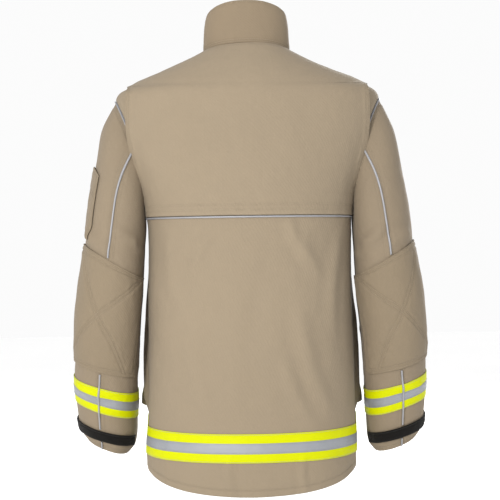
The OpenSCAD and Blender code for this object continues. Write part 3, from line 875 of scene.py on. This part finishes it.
angles = np.linspace(-88.5, 88.5, 300)
levels = np.linspace(6.1, 8.96, 300)
back_lines = [back_uv(angles, hem_z(angles) + STITCH_ABOVE_HEM)]
for side in (-1, 1):
    for a in (88.4, 86.3):
        e = 90 - GAP
        back_lines.append((((side * a) + e) / (2 * e), levels / BODY_LAST))
panel("back_shell", back_surface, (600, 860), (170, 0), -3, 0, TORSO, SHELL, "shell_cloth", ["back_panel"],
      edges=(2.2, 2.2, 2, 3.5), vs=BODY_ROWS / BODY_LAST, shift=torso_shift, lines=back_lines, thread=THREAD)
angles = np.linspace(91.5, 176, 220)
front_lines = [front_uv(angles, hem_z(angles) + STITCH_ABOVE_HEM)]
for x in (11, 30):
    levels = np.linspace(0.3, 8.9, 300)
    a0, a1 = front_edges(levels)
    front_lines.append(((front_angle(x, levels) - a0) / (a1 - a0), levels / BODY_LAST))
for name, side in SIDES:
    panel("front_shell_" + name, front_surface, (300, 760), (88, 0), -3, 0, TORSO, SHELL, "shell_cloth",
          ["front_panel_" + name], edges=(2.2, 2.2, 2, 3.5), vs=BODY_ROWS / BODY_LAST, shift=torso_shift,
          lines=front_lines, flip=side < 0, thread=THREAD)


def quilt(pitch, depth):
    """Quilting in diamonds. 3.1 mm go to a degree round the body."""
    def shift(p):
        across = np.degrees(np.arctan2(p[..., 0], p[..., 1])) * 3.1
        a = np.abs(np.sin(np.pi * (across + p[..., 2]) / pitch))
        b = np.abs(np.sin(np.pi * (across - p[..., 2]) / pitch))
        return depth * (np.sqrt(a * b) - 0.5) + 0.5 * noise3(p / 30, 31)
    return shift


# the liner runs from this level of the body over this many levels, and starts this far from the zip
LINER_TOP, LINER_RUN = 0.15, 8.55
LINER_EDGE = 26
LINER_GAP = 0.36


def liner_piece(sign):
    def surface(u, v):
        s = LINER_TOP + LINER_RUN * v
        a0, a1 = 90 + LINER_GAP + hole_turn(s, LINER_GROW), front_angle(LINER_EDGE, s)
        p, n = on_body(a0 + (a1 - a0) * u, s)
        return p * [sign, 1, 1], n * [sign, 1, 1]
    return surface


def liner_back(u, v):
    s = LINER_TOP + LINER_RUN * v
    e = 90 - LINER_GAP - hole_turn(s, LINER_GROW)
    return on_body(-e + 2 * e * u, s)


levels = np.concatenate([
    np.linspace(0.25, 3.85, 34),
    HOLE_LEVEL - (1 + LINER_GROW) * np.cos(np.linspace(0, math.pi, 44)),
    np.linspace(6.16, 8.6, 60),
])
liner_rows = np.concatenate([[0, 0.001, 0.004], (levels - LINER_TOP) / LINER_RUN, [0.996, 0.999, 1]])
quilted = dict(edges=(2, 2, 2, 2), vs=liner_rows, shift_in=quilt(64, 2.2))
parts = [panel("liner_a", liner_back, (560, 780), (110, 0), -8.5, -5, TORSO, LINER, **quilted)]
for k, sign in enumerate((1, -1)):
    parts.append(panel("liner_b%d" % k, liner_piece(sign), (280, 700), (56, 0), -8.5, -5, TORSO, LINER,
                       **quilted))
merge("body_liner", parts, TORSO, LINER, ["torso_liner"])

# -------- yoke and piping
YOKE_Z = np.array([-312, -282, -238, -190, -142, 0.0])
YOKE_X = np.array([184, 191, 199, 208, 213, 212.0])
# the yoke starts at this level of the body, under the collar, and runs over this many
YOKE_TOP = 0.12
YOKE_RUN = float(s_for(0.0, -307.0)) - YOKE_TOP


def yoke_edge(s):
    z = row(BODY, s)[..., 4]
    x = np.interp(z, YOKE_Z, YOKE_X)
    lower = np.minimum(90 - GAP, back_angle(np.minimum(x, row(BODY, s)[..., 0]), s))
    lower = np.minimum(lower, np.where(s > 5.8, 80.0, 93.5 - hole_turn(s, 0.075)))
    # above level 3.25 it wraps over the shoulder to the front, and the armhole cuts it off there
    wrap = 92 + 34 * (1 - smooth((s - 2.1) / 1.05))
    return np.where(s < 3.25, wrap, np.where(s < 3.32, 90 + (s < 3.28) * 1.0, lower))


def yoke_surface(u, v):
    s = YOKE_TOP + YOKE_RUN * v
    e = yoke_edge(s)
    return on_body(-e + 2 * e * u, s)


def yoke_high(u, v):
    s = YOKE_TOP + YOKE_RUN * v
    side = np.minimum(u, 1 - u)
    lift = 3.4 * smooth((0.055 - side) / 0.055) * smooth((s - 3.3) / 0.5) * smooth((6.0 - s) / 0.8)
    return 4 + lift


yoke_lines = [(0.015 + 0.97 * ALONG, 1 - mm / 100.0 / YOKE_RUN) for mm in (6.5, 12.5)]
down_side = (np.linspace(3.5, YOKE_TOP + YOKE_RUN - 0.06, 200) - YOKE_TOP) / YOKE_RUN
for inset in (3.5, 9.5):
    x = inset / 440
    yoke_lines += [(x, down_side), (1 - x, down_side)]
yoke_lines.append((0.01 + 0.98 * ALONG, 0.022))
yoke_rows = np.concatenate([
    [0, 0.001, 0.004],
    np.linspace(0.012, 0.50, 44),
    np.linspace(0.51, 0.985, 92),
    [0.99, 0.994, 0.997, 0.999, 1],
])
panel("yoke", yoke_surface, (440, 420), (180, 0), lambda u, v: yoke_high(u, v) - 2, yoke_high, TORSO, SHELL,
      "shell_cloth", ["back_yoke"], edges=(1.6, 1.6, 1.5, 1.6), vs=yoke_rows, shift=torso_shift,
      lines=yoke_lines, thread=THREAD, pucker=0.5)

s0, s1 = float(s_for(0.0, -307.8)), float(s_for(0.0, -311.4))


def yoke_pipe(u, v):
    return on_body(-80.0 + 160.0 * u, s0 + (s1 - s0) * v)


# the round back of a cord, across its width
arc = lambda w: np.sqrt(np.clip(1 - (2 * w - 1) ** 2, 0, 1))
panel("yoke_piping_cord", yoke_pipe, (420, 3.6), (200, 8), 0.6, lambda u, v: 1.2 + (3.9 - 1.2) * arc(v),
      TORSO, PIPING, "piping", ["yoke_piping"], edges=(1, 1, 0.4, 0.4), shift=torso_shift, pucker=0)


def hole_pipe(u, v):
    return on_body(*hole_place(-360 * u, 0.014 - 0.028 * v))


for name, side in SIDES:
    panel("armhole_cord_" + name, hole_pipe, (600, 3), (200, 8), -2.4,
          lambda u, v: -0.2 + (2.0 - -0.2) * arc(v), TORSO, PIPING, "piping", ["armhole_piping_" + name],
          edges=(0, 0, 0.4, 0.4), loop=True, flip=side < 0, pucker=0)

# -------- collar
def collar_part(a0, a1, top, foot):
    return lambda u, v: on_collar(a0 + (a1 - a0) * u, top + (foot - top) * v)


def collar_shift(p):
    return 0.9 * noise3(p / 46 + 2.2, 41) + 0.35 * noise3(p / 17, 42)


collar_lines = [(ALONG * 0.97 + 0.015, y) for y in (0.075, 0.90, 0.945)]
collar_lines += rows_down((0.016, 0.984), 0.08, 0.92, 60)
panel("collar", collar_part(-177, 177, -0.02, 2.93), (470, 84), (220, 44), -3,
      lambda u, v: 2.8 + 0.9 * np.sin(np.pi * np.clip(v, 0, 1)) ** 0.7, TORSO, COLLAR_CLOTH, "collar_cloth",
      ["collar_shell", "collar_lining"], edges=(3, 3, 5, 2.4), shift=collar_shift, lines=collar_lines,
      thread=THREAD)
panel("collar_loop_pad", collar_part(-176, -148, 0.9, 2.4), (36, 42), (20, 22), 3.6, 4.9, TORSO, PILE,
      "hook_and_loop", ["collar_loop_strip"], edges=(0.8,) * 4, shift=collar_shift,
      lines=frame_lines((36, 42), (2,)), thread=THREAD_DARK)
panel("throat_strap", collar_part(-218, -144, 0.75, 2.55), (100, 50), (56, 32), 4.4, 7.4, ride("throat_tab"),
      COLLAR_CLOTH, "collar_cloth", ["throat_tab"], edges=(3, 3, 2.4, 2.4),
      lines=frame_lines((100, 50), (4, 10)), thread=THREAD, shift=lambda p: 0.4 * noise3(p / 20, 43))


def loop_surface(u, v):
    x = -35 + 70 * u
    y = 36 + 10 * (np.abs(x) / 35) ** 2.4
    slope = 24 * (np.abs(x) / 35) ** 1.4 * np.sign(x) / 35
    return np.stack([x, y, -7 - 9 * v], -1), unit(np.stack([slope, -np.ones_like(x), 0 * x], -1))


panel("hanger_loop", loop_surface, (74, 9), (50, 10), -0.8, 0.9, TORSO, WEBBING, "webbing", ["hang_loop"],
      edges=(0.8, 0.8, 0.7, 0.7), shift=lambda p: 0.12 * np.cos(p[..., 0] * 3.6),
      lines=rows_down((0.06, 0.1, 0.9, 0.94), 0.1, 0.9, 20), thread=THREAD_DARK)

# -------- reflective tape
TAPE_WIDTH = 50.8


def tape(name, surface, length, shift, how, nodes, count, flip=False, loop=False, low=0.9):
    """Yellow tape with a silver band down its middle."""
    e = (0, 0) if loop else (0.5, 0.5)
    sewn = dict(loop=loop, shift=shift, flip=flip, thread=THREAD_GREY, thread_size=(3.4, 2.5, 0.3))
    panel(name, surface, (length, TAPE_WIDTH), (count, 16), low, low + 0.9, how, YELLOW, "reflective_tape",
          nodes, edges=e + (0.5, 0.5), lines=[(ALONG, y) for y in (0.035, 0.965)], depth=0.35, pucker=0.3,
          **sewn)
    panel(name + "_silver", lambda u, v: surface(u, 0.325 + 0.365 * v), (length, 18.5), (count, 8),
          low + 0.75, low + 1.35, how, SILVER, "reflective_tape", edges=e + (0.3, 0.3),
          lines=[(ALONG, y) for y in (0.07, 0.93)], depth=0.12, pucker=0.12, **sewn)


back_top = lambda a: -690 + 9 * (1 - np.cos(np.radians(a)))
tape("hem_tape_back", band(on_body_z, -89, 89, back_top, lambda a: back_top(a) - TAPE_WIDTH), 590,
     torso_shift, TORSO, ["back_hem_tape"], 170)
tape_front = lambda a: -664 + 7 * (a - 91) / 74
for name, side in SIDES:
    tape("hem_tape_front_" + name, band(on_body_z, 91, 165, tape_front, lambda a: tape_front(a) - TAPE_WIDTH),
         240, torso_shift, TORSO, ["front_hem_tape_" + name], 70, flip=side < 0)

# -------- sleeves
def shoulder(side):
    d = np.array([0.85 * side, 0, -0.527])
    return ("blend", "torso", "arm_left" if side > 0 else "arm_right", tuple(d * 0.312), tuple(d * 0.378))


def elbow(side):
    name = "left" if side > 0 else "right"
    return ("blend", "arm_" + name, "forearm_" + name, (0.255 * side, -0.008, -0.430),
            (0.255 * side, -0.016, -0.560))


SPLIT = 3.5


def sleeve_part(t0, t1, f0=0.0, f1=-360.0):
    return lambda u, v: on_sleeve(f0 + (f1 - f0) * u, t0 + (t1 - t0) * v)


def patch_part(t0, t1, f0, f1):
    def surface(u, v):
        a, b = f0[0] + (f0[1] - f0[0]) * v, f1[0] + (f1[1] - f1[0]) * v
        return on_sleeve(b + (a - b) * u, t0 + (t1 - t0) * v)
    return surface


seam_at = lambda f: 1 - f / 360.0
for name, side in SIDES:
    fore = ride("forearm_" + name)
    sewn = dict(shift=sleeve_shift, flip=side < 0)
    levels = np.linspace(0.3, SPLIT - 0.02, 200)
    upper_lines = [(seam_at(f), levels / SPLIT) for f in (80.2, 90.5)]
    upper_lines += [(ALONG, t / SPLIT) for t in (0.11, 0.2)]
    panel("sleeve_upper_" + name, sleeve_part(0, SPLIT), (560, 330), (150, 84), -2.6, 0, shoulder(side),
          SHADED_SLEEVE_CLOTH, "shell_cloth", ["sleeve_cap_" + name, "upper_sleeve_" + name], edges=(0, 0, 2, None),
          loop=True, lines=upper_lines, thread=THREAD, **sewn)
    at = lambda t: (t - SPLIT) / (SLEEVE_LAST - SPLIT)
    levels = np.linspace(SPLIT + 0.02, 8.9, 300)
    lower_lines = [(seam_at(f), at(levels)) for f in (79.5, 89.5)] + [(ALONG, at(8.55))]
    panel("sleeve_lower_" + name, sleeve_part(SPLIT, SLEEVE_LAST), (470, 350), (150, 110), -2.6, 0,
          elbow(side), SHADED_SLEEVE_CLOTH, "shell_cloth", ["elbow_section_" + name, "forearm_sleeve_" + name],
          edges=(0, 0, None, 3), loop=True, lines=lower_lines, thread=THREAD, **sewn)
    for part, top, foot, size, counts, how, node in (
            ("arm_lining_", 0.9, 4, (480, 250), (90, 46), shoulder(side), "upper_liner_"),
            ("forearm_lining_", 6, 8.2, (440, 160), (90, 30), fore, "forearm_liner_")):
        panel(part + name, sleeve_part(top, foot), size, counts, -7.6, -5, how, LINER, "liner_cloth",
              [node + name], edges=(0, 0, 2, 2), loop=True, shift_in=quilt(50, 1.6), **sewn)
    ribs = lambda u, v: -10 + 0.9 * np.cos(2 * np.pi * 62 * u)
    panel("knit_cuff_" + name, sleeve_part(7.7, 8.9), (380, 60), (496, 22), -13, ribs, fore, KNIT, "knit",
          ["wristlet_" + name], edges=(0, 0, 2, 2), loop=True, flip=side < 0,
          shift=lambda p: 0.5 * noise3(p / 24, 51))
    # elbow patch, quilted
    size = (235, 222)
    border = frame_lines(size, (3, 9.5))
    cross = []
    for u0, u1 in ((0.08, 0.86), (0.74, 0.16)):
        for d in (-4.2 / size[0], 4.2 / size[0]):
            cross.append((u0 + (u1 - u0) * ALONG + d, 0.035 + 0.93 * ALONG))
    puff = lambda u, v: 3.6 + 1.9 * np.sqrt(np.clip(np.sin(np.pi * u) * np.sin(np.pi * v), 0, 1))
    o = panel("elbow_pad_" + name, patch_part(3.5, 6.15, (-24, -16), (168, 146)), size, (110, 100), 1.4, puff,
              elbow(side), PATCH, "patch_cloth", ["elbow_patch_" + name], edges=(2.4,) * 4,
              lines=border + cross, thread=THREAD, depth=1.5, pucker=0.9, **sewn)
    # piping: one cord down the upper sleeve, and one down the forearm that rises over the tape
    cord = lambda u, v: 0.9 + 2.3 * arc(u)
    over_tape = lambda u, v: cord(u, v) + 1.3 * smooth((v - 0.23) / 0.06) * smooth((0.75 - v) / 0.06)
    thin = dict(sewn, edges=(0.4, 0.4, 0.6, 0.6), pucker=0)
    panel("seam_cord_" + name, patch_part(0.3, 3.46, (86, 82), (89, 85)), (3.6, 310), (8, 150), 0.5, cord,
          shoulder(side), PIPING, "piping", ["seam_piping_" + name], **thin)
    parts = [
        panel("cord_a", patch_part(6.2, 7.66, (82, 80), (85, 83)), (3.4, 96), (8, 60), 0.5, over_tape, fore,
              PIPING, **thin),
        panel("cord_b", patch_part(8.17, 8.93, (80, 79), (83, 82)), (3.4, 28), (8, 20), 0.5, cord, fore,
              PIPING, **thin),
    ]
    merge("forearm_cord_" + name, parts, fore, PIPING, ["forearm_piping_" + name])
    tape("sleeve_tape_ring_" + name, sleeve_part(6.55, 7.21), 452, sleeve_shift, fore,
         ["sleeve_tape_" + name], 130, flip=side < 0, loop=True)
    size = (185, 27)
    panel("cuff_tab_" + name, patch_part(7.7, 8.12, (-12, -12), (156, 156)), size, (110, 18), 1.2, 4,
          ride("cuff_strap_" + name), PILE, "hook_and_loop", ["cuff_strap_" + name],
          edges=(2.5, 2.5, 1.8, 1.8),
          lines=frame_lines(size, (3,)) + rows_down((0.1, 0.12, 0.86), 0.12, 0.88, 40), thread=THREAD_DARK,
          depth=0.6, **sewn)

size = (155, 140)
pocket_lines = frame_lines(size, (3, 9), "lrd") + [(ALONG * 0.96 + 0.02, y) for y in (0.06, 0.34, 0.385)]
panel("arm_pocket", patch_part(1.92, 3.35, (-70, -62), (44, 40)), size, (70, 64), 1.2, 4.2, shoulder(LEFT),
      SHADED_SLEEVE_CLOTH, "shell_cloth", ["sleeve_pocket"], edges=(3, 3, 2.5, 2.5), shift=sleeve_shift,
      lines=pocket_lines, thread=THREAD)

# -------- zip and storm flap
arch = lambda x: -1 + 9.6 * np.clip(np.cos(np.radians(90 * (x - 2.5) / 40)), 0, 1) ** 0.8
flat = lambda level: (lambda x: np.full(np.shape(x), float(level)))


def zip_part(x0, x1, z0, z1, height):
    surface = on_zip(height)
    return lambda u, v: surface(x0 + (x1 - x0) * u, z0 + (z1 - z0) * v)


flap_shift = lambda p: 0.5 * noise3(p / 60, 61) + 0.2 * noise3(p / 22, 62)
size = (84, 568)
panel("flap_cover", zip_part(-37, 42, -54, -622, arch), size, (48, 170), 0, 3, ride("storm_flap"), SHELL,
      "shell_cloth", ["storm_flap"], edges=(2.4,) * 4, shift=flap_shift, lines=frame_lines(size, (3, 9)),
      thread=THREAD)
tape("flap_tape", zip_part(-36, 41, -544.2, -595, arch), 82, flap_shift, ride("storm_flap"),
     ["flap_hem_tape"], 30, low=3.3)
panel("flap_hooks", zip_part(-35, -20, -74, -602, arch), (15, 528), (14, 90), -1.15, -0.25,
      ride("storm_flap"), PILE, "hook_and_loop", ["flap_hook_strip"], edges=(0.4,) * 4, pucker=0)
panel("flap_loops", zip_part(-33, -19, -74, -602, lambda x: 0.8 + (x + 33) * -0.0714 - 1.0), (14, 528),
      (14, 90), 0.25, 1.0, TORSO, PILE, "hook_and_loop", ["flap_loop_strip"], edges=(0.4,) * 4, pucker=0)
parts = []
for k, (x, seam) in enumerate(((-20, 0.38), (3.2, 0.62))):
    parts.append(panel(
        "zip_tape%d" % k, zip_part(x, x + 16.8, 0, -588, flat(-5.5)), (16.8, 588), (20, 150), -0.5, 0.5,
        TORSO, WEBBING,
        edges=(0.4,) * 4, pucker=0.1, shift=lambda p: 0.1 * np.cos(p[..., 0] * 3), depth=0.15,
        lines=rows_down((seam,), 0.004, 0.996, 60)))
merge("zip_tape_cloth", parts, TORSO, WEBBING, ["zip_tapes"])
for node in ("zip_chain", "zip_stops", "zip_slider", "zip_pull"):
    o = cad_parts[node]
    for part in o.material_slots:
        part.material = METAL

# -------- pockets
def bellows(name, a0, a1, top, foot, mouth, deep, size, counts, nodes, flip=False, soft=13, fall=0, power=1):
    """A pocket that stands out by mouth at its top and by deep at its foot, and is sewn down at its sides."""
    def high(u, v):
        rise = smooth(np.minimum(u, 1 - u) * size[0] / soft) * smooth((1 - v) * size[1] / 9)
        thin = 1 - fall * smooth((0.22 - u) / 0.22) * smooth((1.0 - v) / 0.42)
        return 3.4 + (mouth + (deep - mouth) * v ** power - 3.4) * rise * thin
    lines = [(ALONG * 0.82 + 0.09, y) for y in (0.05, 0.11)]
    lines += frame_lines(size, (2.5,), "lrd") + rows_down((0.085, 0.915), 0.02, 0.9, 100)
    panel(name, band(on_body_z, a0, a1, top, foot), size, counts, lambda u, v: high(u, v) - 2.0, high, TORSO,
          SHELL, "shell_cloth", nodes, edges=(1.6,) * 4, shift=torso_shift, lines=lines, thread=THREAD,
          flip=flip)


def flap(name, a0, a1, top, foot, low, high, size, counts, body, nodes, flip=False, hug=0):
    """A pocket flap. hug brings its first edge in to the coat."""
    surface = band(on_body_z, a0, a1, top, foot)
    follow = lambda u, v: (low + (high - low) * v) * (1 - hug * smooth((0.30 - u) / 0.30))
    panel(name, surface, size, counts, follow, lambda u, v: follow(u, v) + 2.6, ride(body), SHELL,
          "shell_cloth", nodes, edges=(2.2,) * 4,
          shift=lambda p: 0.6 * noise3(p / 34, 71) + 0.2 * noise3(p / 14, 72),
          lines=frame_lines(size, (3, 9)), thread=THREAD, flip=flip)


for name, side in SIDES:
    bellows("pocket_bag_" + name, 106, 161, -500, -655, 10.6, 21, (205, 156), (96, 76),
            ["lower_pocket_" + name], flip=side < 0, soft=6, fall=0.5, power=1.2)
    flap("pocket_cover_" + name, 105, 162, -484, -552, 11, 16, (212, 70), (96, 40), "pocket_flap_" + name,
         ["pocket_flap_" + name], flip=side < 0, hug=0.62)
bellows("radio_bag", -152, -124, -236, -392, 26, 26, (92, 156), (52, 76), ["radio_pocket"])
flap("radio_cover", -153.5, -122.5, -226, -292, 28, 28, (106, 67), (52, 38), "radio_flap", ["radio_flap"])
panel("name_field", band(on_body_z, 128, 154, -236, -262), (90, 26), (50, 18), 1.4, 2.8, TORSO, PILE,
      "hook_and_loop", ["name_panel"], edges=(0.8,) * 4, shift=torso_shift, lines=frame_lines((90, 26), (2,)),
      thread=THREAD_DARK)
panel("microphone_tab", band(on_body_z, 136, 150, -176, -196), (46, 20), (30, 16), 1.4, 5.5, TORSO,
      COLLAR_CLOTH, "shell_cloth", ["mic_tab"], edges=(1.6,) * 4, shift=torso_shift,
      lines=frame_lines((46, 20), (3,)), thread=THREAD)

# -------- floor
FLOOR_DROP = 0.06
FLOOR_RADIUS = 9
FLOOR_SIDES = 96
floor_z = CAD_BOX[0][2] - FLOOR_DROP
mesh = bpy.data.meshes.new("floor")
rim = []
for k in range(FLOOR_SIDES):
    turn = 2 * math.pi * k / FLOOR_SIDES
    rim.append((FLOOR_RADIUS * math.cos(turn), FLOOR_RADIUS * math.sin(turn), floor_z))
mesh.from_pydata(rim, [], [list(range(FLOOR_SIDES))])
floor = bpy.data.objects.new("floor", mesh)
scene.collection.objects.link(floor)
net = Net("pale_floor")
cloud = net.ramp(net.noise(net.space(), 3, 2), 0.3, 0.7)
white = net.mix(cloud, (0.93, 0.93, 0.93, 1), (0.96, 0.96, 0.96, 1))
mesh.materials.append(net.finish(Base_Color=white, Roughness=0.7, Emission_Color=(1, 1, 1, 1),
                                 Emission_Strength=0.06))
